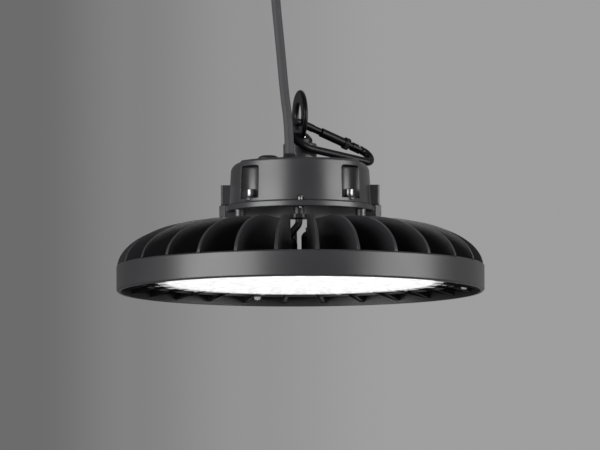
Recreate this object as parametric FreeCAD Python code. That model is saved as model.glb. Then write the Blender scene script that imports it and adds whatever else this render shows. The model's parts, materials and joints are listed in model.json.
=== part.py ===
import FreeCAD, Part
import os
from math import asin, cos, degrees, pi, radians, sin, sqrt, tan

# High bay light: a finned round heatsink with a lit underside, a driver housing on top,
# an eye bolt and a screw-lock carabiner to hang it by, and a mains cable going up.
# Frame: Z up, origin at the centre of the rim's bottom edge, the front towards -Y. Millimetres.

# ---- heatsink casting ----
RIM_R = 140.0
RIM_HEIGHT = 20.0
RIM_WALL = 3.0
RIM_BEVEL = 1.2
FIN_COUNT = 28
FIN_PHASE = 5.33            # degrees from the front to the first fin
FIN_ROOT_T = 3.0            # thickness at the rim's bottom, tapering to the tip
FIN_TIP_T = 1.9
FIN_TOP = 52.2
FIN_FLAT_R = 58.0           # the fins' tops are flat inside this radius
FIN_CROWN_Z = 14.2          # height of the centre of the fins' elliptical shoulder
CORE_R = 38.0               # open core inside the fins
ENTRY_R = 64.0              # the two fins beside each cable bay stop here
CHAMBER_R = 121.0
CHAMBER_TOP = 18.0
CHAMBER_FLOOR = 13.0
SKIRT_WALL = 3.0
SKIRT_BOTTOM = 6.0
WEB_Z_IN = 6.0              # lower edge of the fins across the slots
WEB_Z_OUT = 2.0

# ---- light source ----
BOARD_R = 112.0
BOARD_T = 1.6
CHIP_W = 3.4
CHIP_T = 0.8
CHIP_RINGS = ((24.0, 8), (46.0, 16), (68.0, 22), (90.0, 30))
LENS_GAP = 0.4              # lens edge to the skirt
LENS_T = 2.2
LENS_LIP_W = 8.0
LENS_LIP_T = 1.4
LENS_SCREWS = 12
LENS_SCREW_HEAD_R = 2.6
LENS_SCREW_R = 1.5

# ---- accessory screws inside the rim ----
ACC_ANGLES = (105.0, 15.0, -75.0, -165.0)
ACC_R = 129.5
ACC_BOSS_R = 5.0
ACC_BOSS_TOP = 17.0
ACC_BOSS_BOTTOM = 6.5
ACC_HOLE_R = 2.0
ACC_HEAD_R = 3.5
ACC_HEAD_H = 2.4

# ---- driver housing ----
FLANGE_R = 57.0
FLANGE_Z = 60.0
FLANGE_T = 5.0
GASKET_T = 0.6
COVER_R_LOW = 54.2
COVER_R_HIGH = 52.6
COVER_TOP = 98.0
COVER_WALL = 3.0
COVER_ROUND = 8.0
BOSS_R = 12.8
BOSS_TOP = 113.0
POST_R = 3.75
POST_PITCH_R = 53.0
POST_ANGLES = (60.0, 120.0, 240.0, 300.0)
POST_BOSS_R = 4.8
SCALLOP_R = 10.5
SCALLOP_PITCH_R = 56.1
SCALLOP_ANGLE = 46.7        # from the front to each scallop, mirrored to the back
SCALLOP_FLOOR_T = 2.4
SCREW_PITCH_R = 51.0
SCREW_HEAD_R = 3.6
SCREW_HEAD_H = 4.4
SCREW_R = 2.0
SCREW_PAD_R = 4.6
SCREW_PAD_TOP = 69.6
WASHER_T = 0.9
SOCKET_R = 1.7
RIM_SCREW_PITCH_R = 54.6
RIM_SCREW_HEAD_R = 1.95
RIM_SCREW_HEAD_H = 2.5
RIM_SCREW_R = 1.1
LUG_REACH = 60.3
LUG_W = 18.0
LUG_TOP = 80.6
LUG_CHAMFER = 3.0
LUG_HOLE_R = 2.5
LUG_HOLE_DEPTH = 7.0
LUG_HOLE_Z = 73.0
FOOT_REACH = 61.6
FOOT_W = 21.0
FOOT_Z = 56.0
FOOT_IN_R = 47.0

# ---- driver electronics ----
PCB_Z = 69.5
PCB_T = 1.6
PCB_L = 66.0
PCB_W = 52.0
STANDOFF_R = 2.5

# ---- glands and cables ----
CABLE_R = 3.5
MAINS_X = -8.0
MAINS_Y = -26.0
MAINS_GLAND_R = 7.5
MAINS_NUT_R = 6.2
MAINS_NUT_TOP = 106.0
GLAND_FIT = 0.05            # cable to gland bore
LINK_R = 2.7
LINK_UPPER = (-1.0, -46.0)
LINK_LOWER = (-8.0, -50.0)
PLUG_AT = (6.6, -50.0)
TURRET_R = 6.6
TURRET_TOP = 24.0
LOWER_NUT_R = 5.8
LOWER_NUT_TOP = 36.0
UPPER_NECK_R = 4.2
UPPER_NUT_R = 6.6
UPPER_NUT_Z = 51.6
UPPER_NUT_H = 3.2
PLUG_R = 5.9
PLUG_TOP = 41.5
VENT_AT = (-24.0, -34.0)
VENT_R = 8.0
VENT_H = 2.6

# ---- eye bolt ----
COLLAR_R = 9.5
COLLAR_TOP = 121.0
EYE_R = 20.0
EYE_HOLE_R = 10.0
EYE_T = 3.8
EYE_Z = 134.0
EYE_TURN = 13.5             # degrees from edge-on
EYE_SHANK_R = 5.0
EYE_SHANK_DEPTH = 12.0

# ---- carabiner ----
WIRE_R = 3.0
BIG_R = 14.8                # centreline radius of the wide end
SMALL_R = 6.2
SPAN = 55.5                 # between the two end circles
HOOK_AT = (-8.25, -13.25, 122.1)
HOOK_YAW, HOOK_PITCH, HOOK_ROLL = 33.95, 13.5, 47.9
GATE_R = 2.7
GATE_START = 16.4           # along the upper strand from its wide end
GATE_GAP = 0.8
PIVOT_AT = 50.2
PIVOT_R = 1.0
PIVOT_PLAY = 0.05
TANG_T = 2.4
TANG_PLAY = 0.15
TANG_RELIEF = 0.5           # fork's rounded end to the wire
FORK_R = 3.3
FORK_LEN = 5.6
TONGUE_L = 2.6
TONGUE_T = 1.6
NOSE_TURNED = 6.4           # length turned down to the gate's size so the sleeve passes
SLEEVE_R = 3.5
SLEEVE_PLAY = 0.05
SLEEVE_START = 16.8
SLEEVE_LEN = 25.6
KNURL_R = 4.3
KNURL_LEN = 5.0

# ---- routes: straight runs joined by arcs ----
MAINS_ROUTE = ((MAINS_X, MAINS_Y, 101.0), (-8.3, -26.0, 124.0), (-11.6, -26.0, 148.0),
               (-14.4, -25.6, 182.0), (-18.5, -25.2, 224.0), (-19.7, -25.0, 246.0))
LINK_ROUTE = ((LINK_UPPER[0], LINK_UPPER[1], 57.0), (LINK_UPPER[0], LINK_UPPER[1], 47.4), (-4.2, -48.4, 43.4),
              (LINK_LOWER[0], LINK_LOWER[1], 38.6), (LINK_LOWER[0], LINK_LOWER[1], 29.0))

# ---- ceiling fitting ----
CUP_R = 30.0
CUP_H = 22.0
CUP_WALL = 1.6
PLATE_T = 2.0
CUP_Z = 250.0
GRIP_R = 6.0
GRIP_LEN = 20.0

X = FreeCAD.Vector(1, 0, 0)
Y = FreeCAD.Vector(0, 1, 0)
Z = FreeCAD.Vector(0, 0, 1)
O = FreeCAD.Vector(0, 0, 0)


def vec(x, y, z):
    return FreeCAD.Vector(x, y, z)


def cyl(r, z0, z1, x=0.0, y=0.0):
    """Upright cylinder between two heights."""
    return Part.makeCylinder(r, z1 - z0, vec(x, y, z0))


def ring(r_out, r_in, z0, z1, x=0.0, y=0.0):
    return cyl(r_out, z0, z1, x, y).cut(cyl(r_in, z0 - 1, z1 + 1, x, y))


def box(x0, x1, y0, y1, z0, z1):
    return Part.makeBox(x1 - x0, y1 - y0, z1 - z0, vec(x0, y0, z0))


def turned(points, at=O):
    """Solid of revolution about Z from (radius, height) corners; 'arc' pairs hold a middle point."""
    edges = []
    here = None
    for item in points:
        if len(item) == 4:
            via, end = vec(item[0], 0, item[1]), vec(item[2], 0, item[3])
            edges.append(Part.Arc(here, via, end).toShape())
            here = end
            continue
        end = vec(item[0], 0, item[1])
        if here is not None and here.distanceToPoint(end) > 1e-6:
            edges.append(Part.LineSegment(here, end).toShape())
        here = end
    start = vec(points[0][0], 0, points[0][1])
    if here.distanceToPoint(start) > 1e-6:
        edges.append(Part.LineSegment(here, start).toShape())
    solid = Part.Face(Part.Wire(edges)).revolve(O, Z, 360)
    solid.translate(at)
    return solid


def spun(shape, angle):
    """Copy turned about the lamp's axis; angles are counted from the front towards +X."""
    copy = shape.copy()
    copy.rotate(O, Z, angle)
    return copy


def front_at(radius, angle):
    """Point at a radius and an angle counted from the front towards +X."""
    return radius * sin(radians(angle)), -radius * cos(radians(angle))


def hexagon(across, z0, z1, x=0.0, y=0.0):
    corner = across / sqrt(3)
    points = [vec(x + corner * cos(radians(60 * i)), y + corner * sin(radians(60 * i)), z0) for i in range(7)]
    return Part.Face(Part.makePolygon(points)).extrude(vec(0, 0, z1 - z0))


def cap_screw(head_r, head_h, shank_r, shank_len, socket_r):
    """Socket head screw, head up, with its seat at the origin."""
    screw = cyl(head_r, 0, head_h).fuse(cyl(shank_r, -shank_len, 0))
    rim = [e for e in screw.Edges if abs(e.BoundBox.ZMin - head_h) < 1e-6 and e.BoundBox.XLength > head_r]
    screw = screw.makeChamfer(0.12 * head_r, rim)
    return screw.cut(hexagon(2 * socket_r, 0.45 * head_h, head_h + 1))


def placed(shape, x, y, z):
    copy = shape.copy()
    copy.translate(vec(x, y, z))
    return copy


def fused(shapes):
    return shapes[0].multiFuse(shapes[1:]).removeSplitter()


# ---------------------------------------------------------------- heatsink

def fin_outline():
    """Fin in the radius-height plane: flat top, elliptical shoulder, sloping lower edge."""
    shoulder_a = RIM_R - FIN_FLAT_R
    shoulder_b = FIN_TOP - FIN_CROWN_Z
    end_r = RIM_R - RIM_WALL / 2
    start = asin(sqrt(1 - ((end_r - FIN_FLAT_R) / shoulder_a) ** 2))
    ellipse = Part.Ellipse(vec(RIM_R, 0, FIN_CROWN_Z), vec(FIN_FLAT_R, 0, FIN_TOP),
                           vec(FIN_FLAT_R, 0, FIN_CROWN_Z))
    shoulder = Part.ArcOfEllipse(ellipse, start, pi / 2).toShape()
    z_end = FIN_CROWN_Z + shoulder_b * sin(start)
    corners = [vec(FIN_FLAT_R, 0, FIN_TOP), vec(CORE_R, 0, FIN_TOP), vec(CORE_R, 0, CHAMBER_FLOOR + 2),
               vec(CHAMBER_R - 1, 0, CHAMBER_FLOOR + 2), vec(CHAMBER_R - 1, 0, WEB_Z_IN),
               vec(end_r, 0, WEB_Z_OUT), vec(end_r, 0, z_end)]
    lines = [Part.LineSegment(a, b).toShape() for a, b in zip(corners, corners[1:])]
    return Part.Wire(lines + [shoulder])


def fin(inner_r):
    """One fin with draft, standing along +X."""
    half_root, half_tip = FIN_ROOT_T / 2, FIN_TIP_T / 2
    slab = Part.Face(fin_outline()).extrude(vec(0, FIN_ROOT_T, 0))
    slab.translate(vec(0, -half_root, 0))
    section = Part.makePolygon([vec(inner_r, -half_root, 0), vec(inner_r, half_root, 0),
                                vec(inner_r, half_tip, FIN_TOP + 1), vec(inner_r, -half_tip, FIN_TOP + 1),
                                vec(inner_r, -half_root, 0)])
    return slab.common(Part.Face(section).extrude(vec(RIM_R - inner_r, 0, 0)))


def fins():
    """All the fins; those beside the front and the back cable bay start further out."""
    step = 360.0 / FIN_COUNT
    beside_bay = (0, FIN_COUNT - 1, FIN_COUNT // 2 - 1, FIN_COUNT // 2)
    long_fin, short_fin = fin(CORE_R), fin(ENTRY_R)
    return [spun(short_fin if i in beside_bay else long_fin, FIN_PHASE + i * step - 90)
            for i in range(FIN_COUNT)]


def rim():
    top, wall = RIM_HEIGHT, RIM_R - RIM_WALL
    return turned([(wall, 0), (RIM_R - RIM_BEVEL, 0), (RIM_R, RIM_BEVEL), (RIM_R, top - 1.0),
                   (RIM_R - 1.0, top), (wall, top)])


def chamber():
    """Shallow pan that holds the light source, open downwards."""
    inner = CHAMBER_R - SKIRT_WALL
    return turned([(0, CHAMBER_FLOOR), (inner, CHAMBER_FLOOR), (inner, SKIRT_BOTTOM), (CHAMBER_R, SKIRT_BOTTOM),
                   (CHAMBER_R, CHAMBER_TOP - 1.5), (CHAMBER_R - 1.5, CHAMBER_TOP),
                   (0, CHAMBER_TOP)])


def post_bosses():
    """Round columns that the driver's posts land on."""
    return [cyl(POST_BOSS_R, CHAMBER_FLOOR + 2, FIN_TOP, *front_at(POST_PITCH_R, a)) for a in POST_ANGLES]


def accessory_bosses():
    """Screw bosses in the slots inside the rim, for a guard or a reflector."""
    solids = []
    for angle in ACC_ANGLES:
        x, y = front_at(ACC_R, angle)
        boss = cyl(ACC_BOSS_R, ACC_BOSS_BOTTOM, ACC_BOSS_TOP, x, y)
        web = box(ACC_R - 9.5, ACC_R + 9.0, -2.0, 2.0, ACC_BOSS_BOTTOM, ACC_BOSS_TOP - 2)
        solids += [boss, spun(web, angle - 90)]
    return solids


def turrets():
    """Short columns under the lower link gland and the blanking plug."""
    return [cyl(TURRET_R, CHAMBER_FLOOR + 2, TURRET_TOP, *at) for at in (LINK_LOWER, PLUG_AT)]


# The casting is one piece. It is kept as four that meet face to face: rim, pan, bosses and fins.

def heatsink_rim():
    return rim()


def heatsink_pan():
    """The pan with its lens screw holes and the bore that the link cable comes through."""
    holes = [cyl(LINK_R + 1.0, CHAMBER_FLOOR - 1, TURRET_TOP + 1, *LINK_LOWER)]
    for i in range(LENS_SCREWS):
        x, y = front_at(lens_screw_pitch(), 360.0 * (i + 0.5) / LENS_SCREWS)
        holes.append(cyl(LENS_SCREW_R, CHAMBER_FLOOR - 1, CHAMBER_TOP - 1.2, x, y))
    return chamber().cut(Part.makeCompound(holes))


def heatsink_bosses():
    holes = [cyl(ACC_HOLE_R, ACC_BOSS_BOTTOM - 1, ACC_BOSS_BOTTOM + 8, *front_at(ACC_R, a))
             for a in ACC_ANGLES]
    holes.append(cyl(LINK_R + 1.0, CHAMBER_FLOOR - 1, TURRET_TOP + 1, *LINK_LOWER))
    body = fused(post_bosses() + accessory_bosses() + turrets())
    return body.cut(Part.makeCompound([chamber(), rim()] + holes))


def heatsink_fins():
    beside = Part.makeCompound([chamber(), rim()] + post_bosses() + accessory_bosses() + turrets())
    return Part.makeCompound([part for one in fins() for part in one.cut(beside).Solids])


# ---------------------------------------------------------------- light source

def lens_r():
    return CHAMBER_R - SKIRT_WALL - LENS_GAP


def lens_screw_pitch():
    return lens_r() - LENS_LIP_W / 2


def lens_z():
    """Underside of the lens plate."""
    return SKIRT_BOTTOM + 0.8


def gasket_z():
    return lens_z() + LENS_T


def led_board():
    board = cyl(BOARD_R, CHAMBER_FLOOR - BOARD_T, CHAMBER_FLOOR)
    return board.cut(cyl(LINK_R + 1.0, 0, CHAMBER_TOP, *LINK_LOWER))


def led_chips():
    top = CHAMBER_FLOOR - BOARD_T
    solids = []
    for radius, count in CHIP_RINGS:
        chip = box(radius - CHIP_W / 2, radius + CHIP_W / 2, -CHIP_W / 2, CHIP_W / 2, top - CHIP_T, top)
        solids += [spun(chip, 360.0 * i / count + 5.0) for i in range(count)]
    return Part.makeCompound(solids)


def lens():
    """Clear plate with a thinner screwed border."""
    z = lens_z()
    r_in = lens_r() - LENS_LIP_W
    plate = turned([(0, z), (r_in - 0.8, z), (r_in, z + LENS_T - LENS_LIP_T), (lens_r(), z + LENS_T - LENS_LIP_T),
                    (lens_r(), z + LENS_T), (0, z + LENS_T)])
    holes = [cyl(LENS_SCREW_R + 0.2, 0, CHAMBER_FLOOR, *front_at(lens_screw_pitch(), 360.0 * (i + 0.5) / LENS_SCREWS))
             for i in range(LENS_SCREWS)]
    return plate.cut(Part.makeCompound(holes))


def lens_gasket():
    seal = ring(lens_r(), BOARD_R + 0.3, gasket_z(), CHAMBER_FLOOR)
    holes = [cyl(LENS_SCREW_R + 0.2, 0, CHAMBER_FLOOR + 1,
                 *front_at(lens_screw_pitch(), 360.0 * (i + 0.5) / LENS_SCREWS)) for i in range(LENS_SCREWS)]
    return seal.cut(Part.makeCompound(holes))


def lens_screws():
    seat = lens_z() + LENS_T - LENS_LIP_T
    top = CHAMBER_TOP - 1.6
    one = turned([(0, seat - 1.1), (LENS_SCREW_HEAD_R - 0.8, seat - 1.1), (LENS_SCREW_HEAD_R, seat),
                  (LENS_SCREW_R, seat), (LENS_SCREW_R, top), (0, top)])
    return Part.makeCompound([placed(one, *front_at(lens_screw_pitch(), 360.0 * (i + 0.5) / LENS_SCREWS), 0)
                              for i in range(LENS_SCREWS)])


def accessory_screws():
    seat = ACC_BOSS_BOTTOM
    one = turned([(0, seat - ACC_HEAD_H), (ACC_HEAD_R - 1.2, seat - ACC_HEAD_H), (ACC_HEAD_R, seat),
                  (ACC_HOLE_R, seat), (ACC_HOLE_R, seat + 7.5), (0, seat + 7.5)])
    one = one.cut(hexagon(2.5, seat - ACC_HEAD_H - 1, seat - 0.4 * ACC_HEAD_H))
    return Part.makeCompound([placed(one, *front_at(ACC_R, a), 0) for a in ACC_ANGLES])


# ---------------------------------------------------------------- driver housing

def quarter_angles():
    return [SCALLOP_ANGLE, 180 - SCALLOP_ANGLE, 180 + SCALLOP_ANGLE, -SCALLOP_ANGLE]


def flange_top():
    return FLANGE_Z + FLANGE_T


def cover_z():
    return flange_top() + GASKET_T


def cavity_r(z):
    """Inner radius of the cover's wall at a height."""
    slope = (COVER_R_LOW - COVER_R_HIGH) / (COVER_TOP - COVER_ROUND - cover_z())
    return COVER_R_LOW - COVER_WALL - slope * (z - cover_z())


def side_block(inner, reach, width, z0, z1, chamfer):
    """Block on the +X side with chamfered outer corners."""
    half = width / 2
    outline = Part.makePolygon([vec(inner, -half, z0), vec(reach - chamfer, -half, z0),
                                vec(reach, -half + chamfer, z0), vec(reach, half - chamfer, z0),
                                vec(reach - chamfer, half, z0), vec(inner, half, z0), vec(inner, -half, z0)])
    return Part.Face(outline).extrude(vec(0, 0, z1 - z0))


def foot():
    """Foot under a side lug, its outer end drawn in towards the bottom."""
    block = side_block(FOOT_IN_R, FOOT_REACH, FOOT_W, FOOT_Z, flange_top(), 4.0)
    corners = [vec(FOOT_REACH + 1, -FOOT_W, FOOT_Z - 1), vec(FOOT_REACH - 2.2, -FOOT_W, FOOT_Z - 1),
               vec(FOOT_REACH + 1, -FOOT_W, FOOT_Z + 3.5), vec(FOOT_REACH + 1, -FOOT_W, FOOT_Z - 1)]
    return block.cut(Part.Face(Part.makePolygon(corners)).extrude(vec(0, 2 * FOOT_W, 0)))


def screw_spots():
    return [front_at(SCREW_PITCH_R, a) for a in quarter_angles()]


def rim_screw_spots():
    return [front_at(RIM_SCREW_PITCH_R, 0), front_at(RIM_SCREW_PITCH_R, 180)]


def driver_base():
    top = flange_top()
    plate = turned([(0, FLANGE_Z), (FLANGE_R - 1.0, FLANGE_Z), (FLANGE_R, FLANGE_Z + 0.8),
                    (FLANGE_R, top - 0.6), (FLANGE_R - 0.6, top), (0, top)])
    posts = [cyl(POST_R, FIN_TOP, FLANGE_Z + 1, *front_at(POST_PITCH_R, a)) for a in POST_ANGLES]
    standoffs = [cyl(STANDOFF_R, top - 1, PCB_Z, sx * (PCB_L / 2 - 5), sy * (PCB_W / 2 - 5))
                 for sx in (-1, 1) for sy in (-1, 1)]
    body = fused([plate, foot(), spun(foot(), 180)] + posts + standoffs)
    holes = [cyl(SCREW_R, FLANGE_Z + 1.5, top + 1, x, y) for x, y in screw_spots()]
    holes += [cyl(RIM_SCREW_R, FLANGE_Z - 1, top + 1, x, y) for x, y in rim_screw_spots()]
    holes.append(cyl(LINK_R + 0.6, FLANGE_Z - 1, top + 1, *LINK_UPPER))
    return body.cut(Part.makeCompound(holes))


def scallops(radius, z0, z1):
    return [cyl(radius, z0, z1, *front_at(SCALLOP_PITCH_R, a)) for a in quarter_angles()]


def cover_cavity():
    """Inside of the cover, kept clear of the scallops' walls."""
    roof = COVER_TOP - COVER_WALL
    r_low, r_high = cavity_r(cover_z() - 1), cavity_r(COVER_TOP - COVER_ROUND)
    r_round = COVER_ROUND - COVER_WALL
    room = turned([(0, cover_z() - 1), (r_low, cover_z() - 1), (r_high, roof - r_round),
                   (r_high - r_round, roof), (0, roof)])
    return room.cut(Part.makeCompound(scallops(SCALLOP_R + COVER_WALL, cover_z() - 2, COVER_TOP)))


def driver_gasket():
    z = flange_top()
    seal = cyl(COVER_R_LOW - 0.6, z, z + GASKET_T)
    inside = cyl(cavity_r(cover_z()), z - 1, z + 2).cut(
        Part.makeCompound(scallops(SCALLOP_R + COVER_WALL, z - 2, z + 3)))
    holes = [cyl(SCREW_R + 0.3, z - 1, z + 2, x, y) for x, y in screw_spots()]
    holes += [cyl(RIM_SCREW_HEAD_R + 0.6, z - 1, z + 2, x, y) for x, y in rim_screw_spots()]
    return seal.cut(Part.makeCompound([inside] + holes))


def driver_cover():
    low, high = cover_z(), COVER_TOP - COVER_ROUND
    mid = COVER_ROUND * (1 - sqrt(0.5))
    shell = turned([(0, low), (COVER_R_LOW, low), (COVER_R_HIGH, high),
                    (COVER_R_HIGH - mid, COVER_TOP - mid, COVER_R_HIGH - COVER_ROUND, COVER_TOP),
                    (BOSS_R + 1.0, COVER_TOP), (BOSS_R, COVER_TOP + 1.0), (BOSS_R, BOSS_TOP - 1.2),
                    (BOSS_R - 1.2, BOSS_TOP), (0, BOSS_TOP)])
    lug = side_block(COVER_R_HIGH - 6, LUG_REACH, LUG_W, low, LUG_TOP, LUG_CHAMFER)
    shell = fused([shell, lug, spun(lug, 180)])
    pads = []
    for x, y in screw_spots():
        pad = turned([(0, low + 1), (SCREW_PAD_R, low + 1), (SCREW_PAD_R, low + SCALLOP_FLOOR_T),
                      (SCREW_HEAD_R + 0.2, SCREW_PAD_TOP), (0, SCREW_PAD_TOP)], vec(x, y, 0))
        pads.append(pad)
    shell = shell.cut(Part.makeCompound(scallops(SCALLOP_R, low + SCALLOP_FLOOR_T, COVER_TOP + 1)))
    shell = fused([shell.cut(cover_cavity())] + pads)
    holes = [cyl(SCREW_R + 0.3, low - 1, SCREW_PAD_TOP + 1, x, y) for x, y in screw_spots()]
    holes += [cyl(RIM_SCREW_HEAD_R + 0.6, low - 1, low + 3.2, x, y) for x, y in rim_screw_spots()]
    holes.append(cyl(EYE_SHANK_R, BOSS_TOP - EYE_SHANK_DEPTH, BOSS_TOP + 1))
    holes.append(cyl(CABLE_R + 0.8, COVER_TOP - COVER_WALL - 1, COVER_TOP + 1, MAINS_X, MAINS_Y))
    lug_hole = Part.makeCylinder(LUG_HOLE_R, LUG_HOLE_DEPTH + 1, vec(LUG_REACH - LUG_HOLE_DEPTH, 0, LUG_HOLE_Z), X)
    holes += [lug_hole, spun(lug_hole, 180)]
    return shell.cut(Part.makeCompound(holes))


def cover_screws():
    seat = SCREW_PAD_TOP + WASHER_T
    one = cap_screw(SCREW_HEAD_R, SCREW_HEAD_H, SCREW_R, seat - FLANGE_Z - 2.5, SOCKET_R)
    return Part.makeCompound([placed(one, x, y, seat) for x, y in screw_spots()])


def cover_washers():
    one = ring(SCREW_HEAD_R + 0.1, SCREW_R + 0.2, SCREW_PAD_TOP, SCREW_PAD_TOP + WASHER_T)
    return Part.makeCompound([placed(one, x, y, 0) for x, y in screw_spots()])


def rim_screws():
    one = cap_screw(RIM_SCREW_HEAD_R, RIM_SCREW_HEAD_H, RIM_SCREW_R, FLANGE_T + 1.2, 0.9)
    return Part.makeCompound([placed(one, x, y, flange_top()) for x, y in rim_screw_spots()])


def vent_plug():
    """Low pressure-equalising plug on the cover's top."""
    z = COVER_TOP
    return turned([(0, z), (VENT_R, z), (VENT_R, z + 0.6), (VENT_R * 0.78, z + VENT_H * 0.8, VENT_R * 0.3, z + VENT_H),
                   (0, z + VENT_H)], vec(VENT_AT[0], VENT_AT[1], 0))


# ---------------------------------------------------------------- driver electronics

def driver_board():
    board = box(-PCB_L / 2, PCB_L / 2, -PCB_W / 2, PCB_W / 2, PCB_Z, PCB_Z + PCB_T)
    return board.cut(cyl(CABLE_R + 1.0, PCB_Z - 1, PCB_Z + 3, MAINS_X, MAINS_Y + 2))


def transformer():
    z = PCB_Z + PCB_T
    core = box(6, 28, -12, 12, z, z + 17)
    bobbin = box(9, 25, -14.5, 14.5, z, z + 14)
    return fused([core, bobbin])


def capacitors():
    z = PCB_Z + PCB_T
    return Part.makeCompound([cyl(r, z, z + h, x, y)
                              for r, h, x, y in ((6.5, 19.0, -22, 12), (6.5, 19.0, -22, -4), (4.0, 12.0, -8, 19))])


def inductor():
    z = PCB_Z + PCB_T
    return ring(8.0, 3.2, z, z + 8.0, -6, 3)


# ---------------------------------------------------------------- glands

def mains_gland():
    """Low round gland body moulded for the mains cable."""
    z = COVER_TOP
    body = turned([(0, z), (MAINS_GLAND_R, z), (MAINS_GLAND_R, z + 1.4), (MAINS_NUT_R + 0.3, z + 2.2),
                   (MAINS_NUT_R + 0.3, z + 2.8), (0, z + 2.8)], vec(MAINS_X, MAINS_Y, 0))
    return body.cut(cyl(CABLE_R + GLAND_FIT, z - 1, z + 4, MAINS_X, MAINS_Y))


def mains_nut():
    z = COVER_TOP + 2.8
    body = turned([(0, z), (MAINS_NUT_R, z), (MAINS_NUT_R, z + 2.2),
                   (MAINS_NUT_R - 0.5, z + 3.6, CABLE_R + 1.0, MAINS_NUT_TOP), (0, MAINS_NUT_TOP)],
                  vec(MAINS_X, MAINS_Y, 0))
    return body.cut(cyl(CABLE_R + 0.25, z - 1, MAINS_NUT_TOP + 1, MAINS_X, MAINS_Y))


def upper_link_gland():
    x, y = LINK_UPPER
    neck = cyl(UPPER_NECK_R, UPPER_NUT_Z + UPPER_NUT_H - 0.5, FLANGE_Z, x, y)
    nut = hexagon(2 * UPPER_NUT_R * 0.93, UPPER_NUT_Z, UPPER_NUT_Z + UPPER_NUT_H, x, y)
    nut = nut.common(cyl(UPPER_NUT_R, UPPER_NUT_Z, UPPER_NUT_Z + UPPER_NUT_H, x, y))
    return fused([neck, nut]).cut(cyl(LINK_R + GLAND_FIT, UPPER_NUT_Z - 1, FLANGE_Z + 1, x, y))


def lower_link_gland():
    x, y = LINK_LOWER
    dome = turned([(0, TURRET_TOP), (LOWER_NUT_R, TURRET_TOP), (LOWER_NUT_R, LOWER_NUT_TOP - 5),
                   (LOWER_NUT_R - 0.7, LOWER_NUT_TOP - 2, LINK_R + 1.0, LOWER_NUT_TOP), (0, LOWER_NUT_TOP)],
                  vec(x, y, 0))
    return dome.cut(cyl(LINK_R + GLAND_FIT, TURRET_TOP - 1, LOWER_NUT_TOP + 1, x, y))


def blanking_plug():
    """Domed plug in the second entry of the light chamber."""
    x, y = PLUG_AT
    z = TURRET_TOP
    return turned([(0, z), (PLUG_R, z), (PLUG_R, PLUG_TOP - 6), (PLUG_R * 0.8, PLUG_TOP - 1.7, PLUG_R * 0.25, PLUG_TOP),
                   (0, PLUG_TOP)], vec(x, y, 0))


# ---------------------------------------------------------------- eye bolt

def eye_bolt():
    """Collar eye bolt: shank and collar turned, ring flattened with rounded edges."""
    half = EYE_T / 2
    r_mid_out, r_mid_in = EYE_R - half, EYE_HOLE_R + half
    eye = turned([(r_mid_in, -half), (r_mid_out, -half), (EYE_R, 0, r_mid_out, half), (r_mid_in, half),
                  (EYE_HOLE_R, 0, r_mid_in, -half)])
    eye.rotate(O, Y, 90)
    eye.rotate(O, Z, EYE_TURN)
    eye.translate(vec(0, 0, EYE_Z))
    collar = turned([(0, BOSS_TOP), (COLLAR_R, BOSS_TOP), (COLLAR_R, BOSS_TOP + 3.0),
                     (COLLAR_R - 1.5, BOSS_TOP + 5.2, 5.0, COLLAR_TOP), (0, COLLAR_TOP)])
    hole = Part.makeCylinder(EYE_HOLE_R, 4 * COLLAR_R, vec(-2 * COLLAR_R, 0, 0), X)
    hole.rotate(O, Z, EYE_TURN)
    hole.translate(vec(0, 0, EYE_Z))
    shank = cyl(EYE_SHANK_R, BOSS_TOP - EYE_SHANK_DEPTH + 0.5, BOSS_TOP + 1)
    return fused([eye, collar.cut(hole), shank])


# ---------------------------------------------------------------- carabiner, in its own plane
# u runs from the wide end to the narrow end, v across; the gate is on the +v side.

def lean():
    return asin((BIG_R - SMALL_R) / SPAN)


def strand_frame():
    """Start of the upper strand at the wide end, its direction and its inward normal."""
    a = lean()
    start = vec(BIG_R + BIG_R * sin(a), BIG_R * cos(a), 0)
    along = vec(cos(a), -sin(a), 0)
    inward = vec(-sin(a), -cos(a), 0)
    return start, along, inward


def strand_length():
    return SPAN * cos(lean())


def on_strand(distance):
    start, along, _ = strand_frame()
    return start + along * distance


def rod(r, s0, s1):
    """Cylinder on the upper strand's axis between two distances."""
    _, along, _ = strand_frame()
    return Part.makeCylinder(r, s1 - s0, on_strand(s0), along)


def strand_block(s0, s1, deep, tall, in0):
    """Block on the upper strand: 'tall' across the plane, reaching from in0 inward by deep."""
    start, along, inward = strand_frame()
    block = Part.makeBox(s1 - s0, deep, tall)
    block.translate(vec(s0, in0, -tall / 2))
    turn = FreeCAD.Rotation(along, inward, along.cross(inward), "XYZ")
    block.Placement = FreeCAD.Placement(start, turn).multiply(block.Placement)
    return block


def in_place(shape):
    copy = shape.copy()
    turn = FreeCAD.Rotation(HOOK_YAW, HOOK_PITCH, HOOK_ROLL)
    copy.Placement = FreeCAD.Placement(vec(*HOOK_AT), turn).multiply(copy.Placement)
    return copy


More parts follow.
